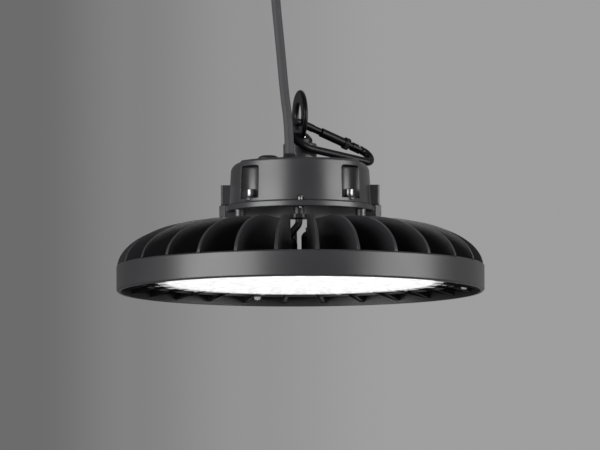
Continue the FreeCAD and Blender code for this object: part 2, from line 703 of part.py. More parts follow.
def carabiner_body_flat():
    """Bent wire: nose, wide end, spine, narrow end and the tang the gate turns on."""
    a = lean()
    big, small = vec(BIG_R, 0, 0), vec(BIG_R + SPAN, 0, 0)

    def on_arc(centre, r, angle):
        return centre + vec(r * cos(angle), r * sin(angle), 0)

    nose_end = GATE_START - GATE_GAP
    nose_full = nose_end - NOSE_TURNED
    top_start = on_arc(big, BIG_R, pi / 2 - a)
    tang_from = PIVOT_AT + FORK_R + TANG_RELIEF
    edges = [Part.LineSegment(on_strand(nose_full), top_start).toShape(),
             Part.Arc(top_start, on_arc(big, BIG_R, pi), on_arc(big, BIG_R, -pi / 2 + a)).toShape(),
             Part.LineSegment(on_arc(big, BIG_R, -pi / 2 + a), on_arc(small, SMALL_R, -pi / 2 + a)).toShape(),
             Part.Arc(on_arc(small, SMALL_R, -pi / 2 + a), on_arc(small, SMALL_R, 0),
                      on_arc(small, SMALL_R, pi / 2 - a)).toShape()]
    if strand_length() - tang_from > 0.05:
        edges.append(Part.LineSegment(on_arc(small, SMALL_R, pi / 2 - a), on_strand(tang_from)).toShape())
    path = Part.Wire(edges)
    start, along, _ = strand_frame()
    profile = Part.Wire([Part.Circle(on_strand(nose_full), along, WIRE_R).toShape()])
    body = path.makePipeShell([profile], True, False)
    nose = rod(GATE_R, nose_full - 0.5, nose_end)
    slot = strand_block(nose_end - TONGUE_L - 0.5, nose_end + 1, 2 * WIRE_R + 1, TONGUE_T + 0.3, -TONGUE_T / 2 - 0.2)
    tang = strand_block(PIVOT_AT - 2.2, strand_length() + 1.0, 4.8, TANG_T, -2.4)
    body = fused([body, nose.cut(slot), tang])
    return body.cut(pivot_pin(PIVOT_R, 12))


def pivot_pin(r, length):
    at = on_strand(PIVOT_AT)
    return Part.makeCylinder(r, length, at + vec(0, 0, -length / 2), Z)


def carabiner_gate_flat():
    """Gate rod with a fork round the tang and a tongue that shuts into the nose."""
    bar = rod(GATE_R, GATE_START, PIVOT_AT)
    fork = rod(FORK_R, PIVOT_AT - FORK_LEN, PIVOT_AT).fuse(
        rod(FORK_R, PIVOT_AT, PIVOT_AT + FORK_R).common(pivot_pin(FORK_R, 4 * FORK_R)))
    slot = strand_block(PIVOT_AT - FORK_R - 0.3, PIVOT_AT + FORK_LEN, 4 * FORK_R, TANG_T + 2 * TANG_PLAY,
                        -2 * FORK_R)
    tongue = strand_block(GATE_START - GATE_GAP - TONGUE_L, GATE_START + 0.5, TONGUE_T + 0.4, TONGUE_T,
                          -TONGUE_T / 2)
    gate = fused([bar, fork, tongue]).cut(slot)
    return gate.cut(pivot_pin(PIVOT_R + PIVOT_PLAY, 12))


def locking_sleeve_flat():
    """Sleeve that covers the nose when it is pushed up the gate, with a grooved grip."""
    end = SLEEVE_START + SLEEVE_LEN
    sleeve = fused([rod(SLEEVE_R, SLEEVE_START, end), rod(KNURL_R, end - KNURL_LEN, end - 0.6)])
    return sleeve.cut(rod(GATE_R + SLEEVE_PLAY, SLEEVE_START - 1, end + 1))


# ---------------------------------------------------------------- cables

def corner_radius(before, corner, after):
    one, two = corner - before, after - corner
    turn = one.getAngle(two)
    return 0.45 * min(one.Length, two.Length) / tan(turn / 2)


def route_path(points):
    """Straight runs joined by tangent arcs; each arc is as large as its two runs allow."""
    p = [vec(*q) for q in points]
    edges, here, radii = [], p[0], []
    for before, corner, after in zip(p, p[1:], p[2:]):
        one, two = (corner - before).normalize(), (after - corner).normalize()
        radius = corner_radius(before, corner, after)
        reach = radius * tan(one.getAngle(two) / 2)
        a, b = corner - one * reach, corner + two * reach
        inner = (two - one).normalize()
        centre = corner + inner * (radius / cos(one.getAngle(two) / 2))
        middle = centre - inner * radius
        edges += [Part.LineSegment(here, a).toShape(), Part.Arc(a, middle, b).toShape()]
        here = b
        radii.append(round(radius, 1))
    edges.append(Part.LineSegment(here, p[-1]).toShape())
    return Part.Wire(edges), radii


def cable(points, r, name):
    path, radii = route_path(points)
    start = vec(*points[0])
    along = (vec(*points[1]) - start).normalize()
    profile = Part.Wire([Part.Circle(start, along, r).toShape()])
    tube = path.makePipeShell([profile], True, False)
    expected = pi * r * r * path.Length
    print(name, "length", round(path.Length, 1), "arc radii", radii, "volume ratio", round(tube.Volume / expected, 4))
    return tube


def ceiling_grip():
    """Tapered cord grip under the ceiling cup, round the top end of the mains cable."""
    x, y, z = MAINS_ROUTE[-1]
    low = CUP_Z - GRIP_LEN
    body = turned([(0, low), (CABLE_R + 1.2, low), (GRIP_R - 0.6, CUP_Z - 8), (GRIP_R + 2, CUP_Z - 6),
                   (GRIP_R + 2, CUP_Z), (0, CUP_Z)], vec(x, y, 0))
    path, _ = route_path(MAINS_ROUTE)
    end = vec(*MAINS_ROUTE[-1])
    along = (end - vec(*MAINS_ROUTE[-2])).normalize()
    run = Part.makeCylinder(CABLE_R + GLAND_FIT, 40, end - along * 40, along)
    return body.cut(run)


def ceiling_cup():
    """Shallow cup that hides the cable's connection at the ceiling."""
    x, y, _ = MAINS_ROUTE[-1]
    z0, z1 = CUP_Z, CUP_Z + CUP_H
    wall = CUP_WALL
    return turned([(0, z0), (CUP_R - 7, z0), (CUP_R - 2, z0 + 2, CUP_R, z0 + 7), (CUP_R, z1), (CUP_R - wall, z1),
                   (CUP_R - wall, z0 + 7), (CUP_R - 2 - 0.7 * wall, z0 + 2 + 0.7 * wall, CUP_R - 7, z0 + wall),
                   (0, z0 + wall)], vec(x, y, 0))


def ceiling_plate():
    """Plate screwed to the ceiling, which closes the cup."""
    x, y, _ = MAINS_ROUTE[-1]
    return cyl(CUP_R - CUP_WALL, CUP_Z + CUP_H - PLATE_T, CUP_Z + CUP_H, x, y)


def write(name, shape):
    solids = shape.Solids
    if len(solids) == 1:
        shape = solids[0]
    shape.exportStep("parts/" + name + ".step")
    print(name, "solids", len(solids), "valid", shape.isValid(), "volume", round(shape.Volume, 1))


def main():
    os.makedirs("parts", exist_ok=True)
    write("heatsink_rim", heatsink_rim())
    write("heatsink_pan", heatsink_pan())
    write("heatsink_bosses", heatsink_bosses())
    write("heatsink_fins", heatsink_fins())
    write("led_board", led_board())
    write("led_chips", led_chips())
    write("lens", lens())
    write("lens_gasket", lens_gasket())
    write("lens_screws", lens_screws())
    write("accessory_screws", accessory_screws())
    write("driver_base", driver_base())
    write("driver_gasket", driver_gasket())
    write("driver_cover", driver_cover())
    write("cover_screws", cover_screws())
    write("cover_washers", cover_washers())
    write("rim_screws", rim_screws())
    write("vent_plug", vent_plug())
    write("driver_board", driver_board())
    write("transformer", transformer())
    write("capacitors", capacitors())
    write("inductor", inductor())
    write("mains_gland", mains_gland())
    write("mains_nut", mains_nut())
    write("upper_link_gland", upper_link_gland())
    write("lower_link_gland", lower_link_gland())
    write("blanking_plug", blanking_plug())
    write("link_cable", cable(LINK_ROUTE, LINK_R, "link_cable"))
    write("eye_bolt", eye_bolt())
    write("carabiner_body", in_place(carabiner_body_flat()))
    write("carabiner_gate", in_place(carabiner_gate_flat()))
    write("gate_pin", in_place(pivot_pin(PIVOT_R, 2 * FORK_R)))
    write("locking_sleeve", in_place(locking_sleeve_flat()))
    write("mains_cable", cable(MAINS_ROUTE, CABLE_R, "mains_cable"))
    write("ceiling_grip", ceiling_grip())
    write("ceiling_cup", ceiling_cup())
    write("ceiling_plate", ceiling_plate())


main()
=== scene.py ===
"""Looks of a round industrial high bay light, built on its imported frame."""
import json
import logging
import math
from dataclasses import dataclass, field
from enum import Enum
from typing import Sequence

import bmesh
import bpy
from mathutils import Matrix, Vector


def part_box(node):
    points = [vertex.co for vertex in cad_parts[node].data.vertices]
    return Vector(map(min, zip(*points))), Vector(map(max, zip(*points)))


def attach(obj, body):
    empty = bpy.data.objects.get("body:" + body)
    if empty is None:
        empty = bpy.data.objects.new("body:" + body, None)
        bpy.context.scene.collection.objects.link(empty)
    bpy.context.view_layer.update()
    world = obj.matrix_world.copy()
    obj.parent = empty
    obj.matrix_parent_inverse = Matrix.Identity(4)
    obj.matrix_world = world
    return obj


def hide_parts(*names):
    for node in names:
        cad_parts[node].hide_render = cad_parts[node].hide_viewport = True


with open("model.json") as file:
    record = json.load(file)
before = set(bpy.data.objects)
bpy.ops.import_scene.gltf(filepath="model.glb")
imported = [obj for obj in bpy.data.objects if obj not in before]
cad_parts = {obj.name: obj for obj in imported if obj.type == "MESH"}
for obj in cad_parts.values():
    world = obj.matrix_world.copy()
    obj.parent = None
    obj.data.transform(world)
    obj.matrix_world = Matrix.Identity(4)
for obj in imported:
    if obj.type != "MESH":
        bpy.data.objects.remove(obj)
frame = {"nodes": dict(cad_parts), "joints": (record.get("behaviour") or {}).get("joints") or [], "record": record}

LOG = logging.getLogger("high_bay")
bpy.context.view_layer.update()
SHARP_ANGLE = 28.0  # degrees, beyond which an edge of a made piece stays crisp
DOME_SEGMENTS, DOME_RINGS = 10, 5
RIB_SIDES = 6
Colour = tuple[float, float, float]
Point = tuple[float, float, float]
Profile = tuple[tuple[float, float], ...]


class Body(str, Enum):
    """Bodies of the frame that pieces ride on."""

    LAMP = "lamp"
    SLEEVE = "sleeve"


class Shape(str, Enum):
    """Small shapes that a ring of repeats can be made of."""

    DOME = "dome"
    RIB = "rib"


class Cut(str, Enum):
    """Ways to combine two closed meshes."""

    JOIN = "UNION"
    TAKE_AWAY = "DIFFERENCE"
    OVERLAP = "INTERSECT"


# ---------------------------------------------------------------- shader groups


def new_group(name: str, inputs: dict[str, float], outputs: dict[str, str]) -> bpy.types.NodeTree:
    """Makes an empty shader node group.

    Args:
        name: name of the group.
        inputs: float inputs and their default values.
        outputs: output names and their socket types.

    Returns:
        The group, with its input and output nodes.
    """
    tree = bpy.data.node_groups.new(name, "ShaderNodeTree")
    for key, value in inputs.items():
        socket = tree.interface.new_socket(key, in_out="INPUT", socket_type="NodeSocketFloat")
        socket.default_value = value
    for key, kind in outputs.items():
        tree.interface.new_socket(key, in_out="OUTPUT", socket_type=kind)
    tree.nodes.new("NodeGroupInput")
    tree.nodes.new("NodeGroupOutput")
    return tree


def add(tree: bpy.types.NodeTree, kind: str, **props: object) -> bpy.types.Node:
    """Adds a node and sets its properties.

    Args:
        tree: tree that takes the node.
        kind: the node's type.
        props: property values to set on it.

    Returns:
        The new node.
    """
    node = tree.nodes.new(kind)
    for key, value in props.items():
        setattr(node, key, value)
    return node


def build_grain_group() -> bpy.types.NodeTree:
    """Builds the grain group: two scales of noise as a height and a tone mask.

    Returns:
        The group, with inputs Scale and Stretch and outputs Height and Tone.
    """
    tree = new_group("surface_grain", {"Scale": 900.0, "Stretch": 1.0},
                     {"Height": "NodeSocketFloat", "Tone": "NodeSocketFloat"})
    source = tree.nodes["Group Input"]
    sink = tree.nodes["Group Output"]
    place = add(tree, "ShaderNodeTexCoord")
    axes = add(tree, "ShaderNodeCombineXYZ")
    axes.inputs["X"].default_value = 1.0
    axes.inputs["Y"].default_value = 1.0
    scaled = add(tree, "ShaderNodeVectorMath", operation="MULTIPLY")
    fine = add(tree, "ShaderNodeTexNoise", noise_dimensions="3D")
    fine.inputs["Detail"].default_value = 2.0
    broad = add(tree, "ShaderNodeTexNoise", noise_dimensions="3D")
    broad.inputs["Scale"].default_value = 22.0
    broad.inputs["Detail"].default_value = 4.0
    link = tree.links.new
    link(source.outputs["Stretch"], axes.inputs["Z"])
    link(place.outputs["Object"], scaled.inputs[0])
    link(axes.outputs["Vector"], scaled.inputs[1])
    link(scaled.outputs["Vector"], fine.inputs["Vector"])
    link(source.outputs["Scale"], fine.inputs["Scale"])
    link(place.outputs["Object"], broad.inputs["Vector"])
    link(fine.outputs["Fac"], sink.inputs["Height"])
    link(broad.outputs["Fac"], sink.inputs["Tone"])
    return tree


def build_rounded_group() -> bpy.types.NodeTree:
    """Builds the group that puts a small round on hard edges and bumps the surface.

    Returns:
        The group, with inputs Height and Depth and output Normal.
    """
    tree = new_group("rounded_bump", {"Height": 0.5, "Depth": 0.0001}, {"Normal": "NodeSocketVector"})
    source = tree.nodes["Group Input"]
    sink = tree.nodes["Group Output"]
    soft = add(tree, "ShaderNodeBevel", samples=4)
    soft.inputs["Radius"].default_value = 0.0005
    bump = add(tree, "ShaderNodeBump")
    bump.inputs["Strength"].default_value = 0.6
    link = tree.links.new
    link(source.outputs["Height"], bump.inputs["Height"])
    link(source.outputs["Depth"], bump.inputs["Distance"])
    link(soft.outputs["Normal"], bump.inputs["Normal"])
    link(bump.outputs["Normal"], sink.inputs["Normal"])
    return tree


GRAIN = build_grain_group()
ROUNDED = build_rounded_group()


# ---------------------------------------------------------------- finishes


@dataclass(frozen=True)
class Finish:
    """A finish of one material slot: colour, gloss and grain."""

    name: str
    colour: Colour
    roughness: float
    metallic: float = 0.0
    grain_scale: float = 900.0
    grain_depth: float = 0.00003
    stretch: float = 1.0
    tone: float = 0.12
    rough_swing: float = 0.08
    clear_coat: float = 0.0
    specular: float = 0.5

    def shader(self, tree: bpy.types.NodeTree) -> bpy.types.Node:
        """Sets the constants of the material's own Principled shader.

        Args:
            tree: the material's tree.

        Returns:
            The shader.
        """
        shader = tree.nodes["Principled BSDF"]
        shader.inputs["Metallic"].default_value = self.metallic
        shader.inputs["Coat Weight"].default_value = self.clear_coat
        shader.inputs["Specular IOR Level"].default_value = self.specular
        shader.inputs["Coat Roughness"].default_value = 0.12
        return shader

    def make(self) -> bpy.types.Material:
        """Builds the material.

        Returns:
            A material whose colour, roughness and normal vary over the surface.
        """
        material = bpy.data.materials.new(self.name)
        material.use_nodes = True
        tree = material.node_tree
        link = tree.links.new
        shader = self.shader(tree)
        grain = add(tree, "ShaderNodeGroup", node_tree=GRAIN)
        grain.inputs["Scale"].default_value = self.grain_scale
        grain.inputs["Stretch"].default_value = self.stretch
        ramp = add(tree, "ShaderNodeMapRange")
        ramp.inputs["To Min"].default_value = 1.0 - self.tone
        ramp.inputs["To Max"].default_value = 1.0 + self.tone
        tint = add(tree, "ShaderNodeVectorMath", operation="SCALE")
        tint.inputs[0].default_value = self.colour
        rough = add(tree, "ShaderNodeMapRange")
        rough.inputs["To Min"].default_value = self.roughness - self.rough_swing
        rough.inputs["To Max"].default_value = self.roughness + self.rough_swing
        edge = add(tree, "ShaderNodeGroup", node_tree=ROUNDED)
        edge.inputs["Depth"].default_value = self.grain_depth
        link(grain.outputs["Tone"], ramp.inputs["Value"])
        link(ramp.outputs["Result"], tint.inputs["Scale"])
        link(tint.outputs["Vector"], shader.inputs["Base Color"])
        link(grain.outputs["Tone"], rough.inputs["Value"])
        link(rough.outputs["Result"], shader.inputs["Roughness"])
        link(grain.outputs["Height"], edge.inputs["Height"])
        link(edge.outputs["Normal"], shader.inputs["Normal"])
        return material


@dataclass(frozen=True)
class LitFinish(Finish):
    """A finish that gives light: full inside a radius, and only a share of it past a ragged edge."""

    glow: float = 1.0
    glow_colour: Colour = (1.0, 1.0, 1.0)
    lit_radius: float = 1.0
    edge_width: float = 0.006
    raggedness: float = 0.5
    outer_share: float = 0.3
    cell_scale: float = 170.0
    cell_reach: float = 0.6
    cell_dip: float = 0.2

    def make(self) -> bpy.types.Material:
        """Builds the material and adds its glow.

        Returns:
            The finish's material, with emission that varies over small cells and falls at the edge.
        """
        material = super().make()
        tree = material.node_tree
        shader = tree.nodes["Principled BSDF"]
        shader.inputs["Emission Strength"].default_value = self.glow
        cells = add(tree, "ShaderNodeTexVoronoi")
        cells.inputs["Scale"].default_value = self.cell_scale
        place = add(tree, "ShaderNodeTexCoord")
        flat = add(tree, "ShaderNodeVectorMath", operation="MULTIPLY")
        flat.inputs[1].default_value = (1.0, 1.0, 0.0)
        radius = add(tree, "ShaderNodeVectorMath", operation="LENGTH")
        ragged = add(tree, "ShaderNodeMath", operation="MULTIPLY_ADD")
        ragged.inputs[1].default_value = self.edge_width * self.raggedness
        fall = add(tree, "ShaderNodeMapRange", interpolation_type="SMOOTHSTEP")
        fall.inputs["From Min"].default_value = self.lit_radius
        fall.inputs["From Max"].default_value = self.lit_radius + self.edge_width
        fall.inputs["To Min"].default_value = 1.0
        fall.inputs["To Max"].default_value = self.outer_share
        level = add(tree, "ShaderNodeMapRange")
        level.inputs["From Max"].default_value = self.cell_reach
        level.inputs["To Min"].default_value = 1.0
        level.inputs["To Max"].default_value = 1.0 - self.cell_dip
        both = add(tree, "ShaderNodeMath", operation="MULTIPLY")
        tint = add(tree, "ShaderNodeVectorMath", operation="SCALE")
        tint.inputs[0].default_value = self.glow_colour
        link = tree.links.new
        link(place.outputs["Object"], cells.inputs["Vector"])
        link(place.outputs["Object"], flat.inputs[0])
        link(flat.outputs["Vector"], radius.inputs[0])
        link(cells.outputs["Distance"], ragged.inputs[0])
        link(radius.outputs["Value"], ragged.inputs[2])
        link(ragged.outputs["Value"], fall.inputs["Value"])
        link(cells.outputs["Distance"], level.inputs["Value"])
        link(level.outputs["Result"], both.inputs[0])
        link(fall.outputs["Result"], both.inputs[1])
        link(both.outputs["Value"], tint.inputs["Scale"])
        link(tint.outputs["Vector"], shader.inputs["Emission Color"])
        return material


POWDER_GREY: Colour = (0.020, 0.020, 0.022)
FINISHES: dict[str, Finish] = {
    "casting": Finish("cast_powder_coat", POWDER_GREY, 0.36, grain_scale=1500.0, grain_depth=0.00004),
    "housing": Finish("housing_powder_coat", POWDER_GREY, 0.34, grain_scale=1500.0, grain_depth=0.00003),
    "lens": LitFinish("lit_lens", (0.80, 0.81, 0.80), 0.16, tone=0.03, glow=0.96, lit_radius=0.1005,
                      edge_width=0.007, outer_share=0.5),
    "board_white": Finish("white_board", (0.78, 0.78, 0.76), 0.45, tone=0.05),
    "emitter": LitFinish("lit_emitter", (1.0, 0.97, 0.86), 0.4, glow=2.0,
                         glow_colour=(1.0, 0.98, 0.94)),
    "seal": Finish("silicone_seal", (0.012, 0.012, 0.012), 0.72, grain_scale=700.0),
    "steel": Finish("stainless_steel", (0.56, 0.56, 0.57), 0.22, metallic=1.0, stretch=0.1,
                    grain_depth=0.00001),
    "black_plastic": Finish("moulded_nylon", (0.006, 0.006, 0.007), 0.42, grain_scale=1100.0,
                            specular=0.3),
    "board_green": Finish("green_board", (0.01, 0.09, 0.03), 0.35),
    "winding": Finish("taped_winding", (0.42, 0.26, 0.03), 0.48, stretch=6.0),
    "can": Finish("sleeved_can", (0.05, 0.06, 0.11), 0.3, clear_coat=0.4),
    "cable": Finish("rubber_sheath", (0.042, 0.042, 0.045), 0.68, grain_scale=1300.0, stretch=0.15,
                    grain_depth=0.00006, specular=0.35),
    "black_gloss": Finish("black_enamel", (0.003, 0.003, 0.004), 0.30, grain_scale=500.0,
                          grain_depth=0.00001, rough_swing=0.06, specular=0.14),
    "cup": Finish("satin_cup", (0.03, 0.03, 0.032), 0.33),
}
NODE_FINISHES: dict[str, Finish] = {
    "link_cable": Finish("black_sheath", (0.006, 0.006, 0.007), 0.5, grain_scale=1300.0, specular=0.25),
    "rim_screws": Finish("blackened_steel", (0.10, 0.10, 0.10), 0.38, metallic=1.0),
    "cover_screws": Finish("dull_steel", (0.20, 0.20, 0.205), 0.30, metallic=1.0),
    "cover_washers": Finish("dull_washer", (0.12, 0.12, 0.125), 0.34, metallic=1.0),
}


# ---------------------------------------------------------------- geometry nodes


@dataclass
class GeometryTree:
    """A Geometry Nodes tree with named inputs, run once and kept as a plain mesh."""

    name: str
    inputs: dict[str, tuple[str, float]]
    tree: bpy.types.NodeTree = field(init=False)
    ids: dict[str, str] = field(init=False, default_factory=dict)

    def __post_init__(self) -> None:
        """Makes the tree and its sockets."""
        self.tree = bpy.data.node_groups.new(self.name, "GeometryNodeTree")
        self.tree.interface.new_socket("Geometry", in_out="INPUT", socket_type="NodeSocketGeometry")
        for key, (kind, value) in self.inputs.items():
            socket = self.tree.interface.new_socket(key, in_out="INPUT", socket_type=kind)
            socket.default_value = value
            self.ids[key] = socket.identifier
        self.tree.interface.new_socket("Geometry", in_out="OUTPUT", socket_type="NodeSocketGeometry")
        add(self.tree, "NodeGroupInput")
        add(self.tree, "NodeGroupOutput")

    def close(self, last: bpy.types.NodeSocket, material: bpy.types.Material) -> None:
        """Ends the tree in Realize Instances and Set Material.

        Args:
            last: the socket that gives the instances.
            material: material of the result.
        """
        real = add(self.tree, "GeometryNodeRealizeInstances")
        paint = add(self.tree, "GeometryNodeSetMaterial")
        paint.inputs["Material"].default_value = material
        link = self.tree.links.new
        link(last, real.inputs["Geometry"])
        link(real.outputs["Geometry"], paint.inputs["Geometry"])
        link(paint.outputs["Geometry"], self.tree.nodes["Group Output"].inputs["Geometry"])

    def run(self, values: dict[str, float], place: Matrix,
            seed: bpy.types.Mesh | None = None) -> bpy.types.Mesh:
        """Evaluates the tree with the given inputs.

        Args:
            values: input values by name.
            place: where the result goes in the frame.
            seed: the shape that the tree repeats, if it takes one.

        Returns:
            A plain mesh that already stands in place.
        """
        holder = bpy.data.objects.new(self.name + "_holder", seed or bpy.data.meshes.new(self.name))
        bpy.context.scene.collection.objects.link(holder)
        modifier = holder.modifiers.new(self.name, "NODES")
        modifier.node_group = self.tree
        for key, value in values.items():
            modifier[self.ids[key]] = value
        graph = bpy.context.evaluated_depsgraph_get()
        mesh = bpy.data.meshes.new_from_object(holder.evaluated_get(graph))
        mesh.transform(place)
        bpy.data.objects.remove(holder)
        return mesh


def ring_tree(name: str, shape: Shape, material: bpy.types.Material) -> GeometryTree:
    """Builds a tree that stands one small shape at each point round a circle.

    Args:
        name: name of the tree.
        shape: the shape to repeat.
        material: material of the shapes.

    Returns:
        The tree, with inputs Count, Radius, Width and Height.
    """
    made = GeometryTree(name, {
        "Count": ("NodeSocketInt", 12), "Radius": ("NodeSocketFloat", 0.02),
        "Width": ("NodeSocketFloat", 0.001), "Height": ("NodeSocketFloat", 0.002)})
    tree = made.tree
    link = tree.links.new
    source = tree.nodes["Group Input"]
    circle = add(tree, "GeometryNodeMeshCircle")
    size = add(tree, "ShaderNodeCombineXYZ")
    link(source.outputs["Count"], circle.inputs["Vertices"])
    link(source.outputs["Radius"], circle.inputs["Radius"])
    link(source.outputs["Width"], size.inputs["X"])
    link(source.outputs["Width"], size.inputs["Y"])
    link(source.outputs["Height"], size.inputs["Z"])
    if shape is Shape.DOME:
        solid = add(tree, "GeometryNodeMeshUVSphere")
        solid.inputs["Segments"].default_value = DOME_SEGMENTS
        solid.inputs["Rings"].default_value = DOME_RINGS
    else:
        solid = add(tree, "GeometryNodeMeshCylinder")
        solid.inputs["Vertices"].default_value = RIB_SIDES
        solid.inputs["Radius"].default_value = 1.0
        solid.inputs["Depth"].default_value = 1.0
    spread = add(tree, "GeometryNodeInstanceOnPoints")
    link(circle.outputs["Mesh"], spread.inputs["Points"])
    link(solid.outputs["Mesh"], spread.inputs["Instance"])
    link(size.outputs["Vector"], spread.inputs["Scale"])
    made.close(spread.outputs["Instances"], material)
    return made


def array_tree(name: str, material: bpy.types.Material) -> GeometryTree:
    """Builds a tree that repeats the holder's own shape about the lamp's axis.

    Args:
        name: name of the tree.
        material: material of the shapes.

    Returns:
        The tree, with inputs Count, Phase and Step, both angles in radians.
    """
    made = GeometryTree(name, {"Count": ("NodeSocketInt", 4), "Phase": ("NodeSocketFloat", 0.0),
                               "Step": ("NodeSocketFloat", math.pi / 2)})
    tree = made.tree
    link = tree.links.new
    source = tree.nodes["Group Input"]
    line = add(tree, "GeometryNodeMeshLine")
    line.inputs["Offset"].default_value = (0.0, 0.0, 0.0)
    index = add(tree, "GeometryNodeInputIndex")
    turn = add(tree, "ShaderNodeMath", operation="MULTIPLY_ADD")
    axes = add(tree, "ShaderNodeCombineXYZ")
    spread = add(tree, "GeometryNodeInstanceOnPoints")
    link(source.outputs["Count"], line.inputs["Count"])
    link(index.outputs["Index"], turn.inputs[0])
    link(source.outputs["Step"], turn.inputs[1])
    link(source.outputs["Phase"], turn.inputs[2])
    link(turn.outputs["Value"], axes.inputs["Z"])
    link(line.outputs["Mesh"], spread.inputs["Points"])
    link(source.outputs["Geometry"], spread.inputs["Instance"])
    link(axes.outputs["Vector"], spread.inputs["Rotation"])
    made.close(spread.outputs["Instances"], material)
    return made


# ---------------------------------------------------------------- shared making


def keep(name: str, mesh: bpy.types.Mesh, body: Body) -> bpy.types.Object:
    """Turns a mesh into a piece that rides on a body.

    Args:
        name: name of the piece.
        mesh: its mesh, in place.
        body: the body it rides on.

    Returns:
        The piece.
    """
    piece = bpy.data.objects.new(name, mesh)
    bpy.context.scene.collection.objects.link(piece)
    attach(piece, body.value)
    LOG.info("%s rides on %s with %d faces", name, body.value, len(mesh.polygons))
    return piece


def joined(meshes: Sequence[bpy.types.Mesh], material: bpy.types.Material, name: str) -> bpy.types.Mesh:
    """Joins meshes into one.

    Args:
        meshes: the meshes, in place.
        material: material of the whole.
        name: name of the result.

    Returns:
        One mesh with faces that point outwards.
    """
    work = bmesh.new()
    for mesh in meshes:
        work.from_mesh(mesh)
    bmesh.ops.recalc_face_normals(work, faces=work.faces[:])
    for face in work.faces:
        face.smooth = True
        face.material_index = 0
    whole = bpy.data.meshes.new(name)
    work.to_mesh(whole)
    work.free()
    whole.set_sharp_from_angle(angle=math.radians(SHARP_ANGLE))
    whole.materials.clear()
    whole.materials.append(material)
    return whole


def combined(base: bpy.types.Mesh, tool: bpy.types.Mesh, how: Cut) -> bpy.types.Mesh:
    """Combines two closed meshes into one.

    Args:
        base: the mesh to change.
        tool: the mesh that changes it.
        how: join, take away or keep the overlap.

    Returns:
        The new closed mesh.
    """
    pair = [bpy.data.objects.new(f"work_{i}", mesh) for i, mesh in enumerate((base, tool))]
    for obj in pair:
        bpy.context.scene.collection.objects.link(obj)
    change = pair[0].modifiers.new("combine", "BOOLEAN")
    change.operation = how.value
    change.solver = "EXACT"
    change.object = pair[1]
    graph = bpy.context.evaluated_depsgraph_get()
    mesh = bpy.data.meshes.new_from_object(pair[0].evaluated_get(graph))
    for obj in pair:
        bpy.data.objects.remove(obj)
    return mesh


def prism(outline: Sequence[tuple[float, float]], low: float, high: float, name: str) -> bpy.types.Mesh:
    """Stands a flat outline up between two heights.

    Args:
        outline: corners as (x, y).
        low: height of the bottom.
        high: height of the top.
        name: name of the mesh.

    Returns:
        A closed mesh.
    """
    work = bmesh.new()
    face = work.faces.new([work.verts.new((x, y, low)) for x, y in outline])
    grown = bmesh.ops.extrude_face_region(work, geom=[face])
    raised = [v for v in grown["geom"] if isinstance(v, bmesh.types.BMVert)]
    bmesh.ops.translate(work, verts=raised, vec=(0.0, 0.0, high - low))
    bmesh.ops.recalc_face_normals(work, faces=work.faces[:])
    mesh = bpy.data.meshes.new(name)
    work.to_mesh(mesh)
    work.free()
    return mesh


def front_at(radius: float, angle: float) -> tuple[float, float]:
    """Returns the point at a radius and an angle in degrees, counted from the front towards +X."""
    return radius * math.sin(math.radians(angle)), -radius * math.cos(math.radians(angle))


def moved(mesh: bpy.types.Mesh, x: float, y: float) -> bpy.types.Mesh:
    """Returns the mesh after a shift along the floor."""
    mesh.transform(Matrix.Translation((x, y, 0.0)))
    return mesh


def lathe(profile: Sequence[tuple[float, float]], steps: int, name: str) -> bpy.types.Mesh:
    """Turns a closed radius-height profile about Z.

    Args:
        profile: corners as (radius, height), the first and last on the axis.
        steps: number of steps round.
        name: name of the mesh.

    Returns:
        A closed mesh.
    """
    work = bmesh.new()
    corners = [work.verts.new((r, 0.0, z)) for r, z in profile]
    edges = [work.edges.new(pair) for pair in zip(corners, corners[1:])]
    bmesh.ops.spin(work, geom=corners + edges, cent=(0, 0, 0), axis=(0, 0, 1), angle=math.tau,
                   steps=steps, use_duplicate=False)
    bmesh.ops.remove_doubles(work, verts=work.verts[:], dist=1e-6)
    bmesh.ops.recalc_face_normals(work, faces=work.faces[:])
    mesh = bpy.data.meshes.new(name)
    work.to_mesh(mesh)
    work.free()
    return mesh


# ---------------------------------------------------------------- camera and cord


@dataclass
class Camera:
    """A long lens a little below the lamp, looking slightly up."""

    elevation: float = -5.19
    distance: float = 8.0
    lens_mm: float = 631.1
    aim: tuple[float, float] = (-0.00023, 0.0506)
    roll: float = -0.22
    sensor_mm: float = 36.0
    reach: float = 60.0

    def build(self) -> None:
        """Makes the camera and sets it on the scene."""
        turn = math.radians(self.elevation)
        back = Vector((0.0, -math.cos(turn), math.sin(turn)))
        up = Vector((0.0, math.sin(turn), math.cos(turn)))
        target = Vector((self.aim[0], 0.0, 0.0)) + up * self.aim[1]
        data = bpy.data.cameras.new("camera")
        data.lens = self.lens_mm
        data.sensor_width = self.sensor_mm
        data.clip_end = self.reach
        camera = bpy.data.objects.new("camera", data)
        bpy.context.scene.collection.objects.link(camera)
        camera.rotation_mode = "QUATERNION"
        camera.location = target + back * self.distance
        spin = Matrix.Rotation(math.radians(self.roll), 3, back)
        axes = Matrix((Vector((1.0, 0.0, 0.0)), up, back)).transposed()
        camera.rotation_quaternion = (spin @ axes).to_quaternion()
        bpy.context.scene.camera = camera
        LOG.info("camera stands %.1f m away", self.distance)


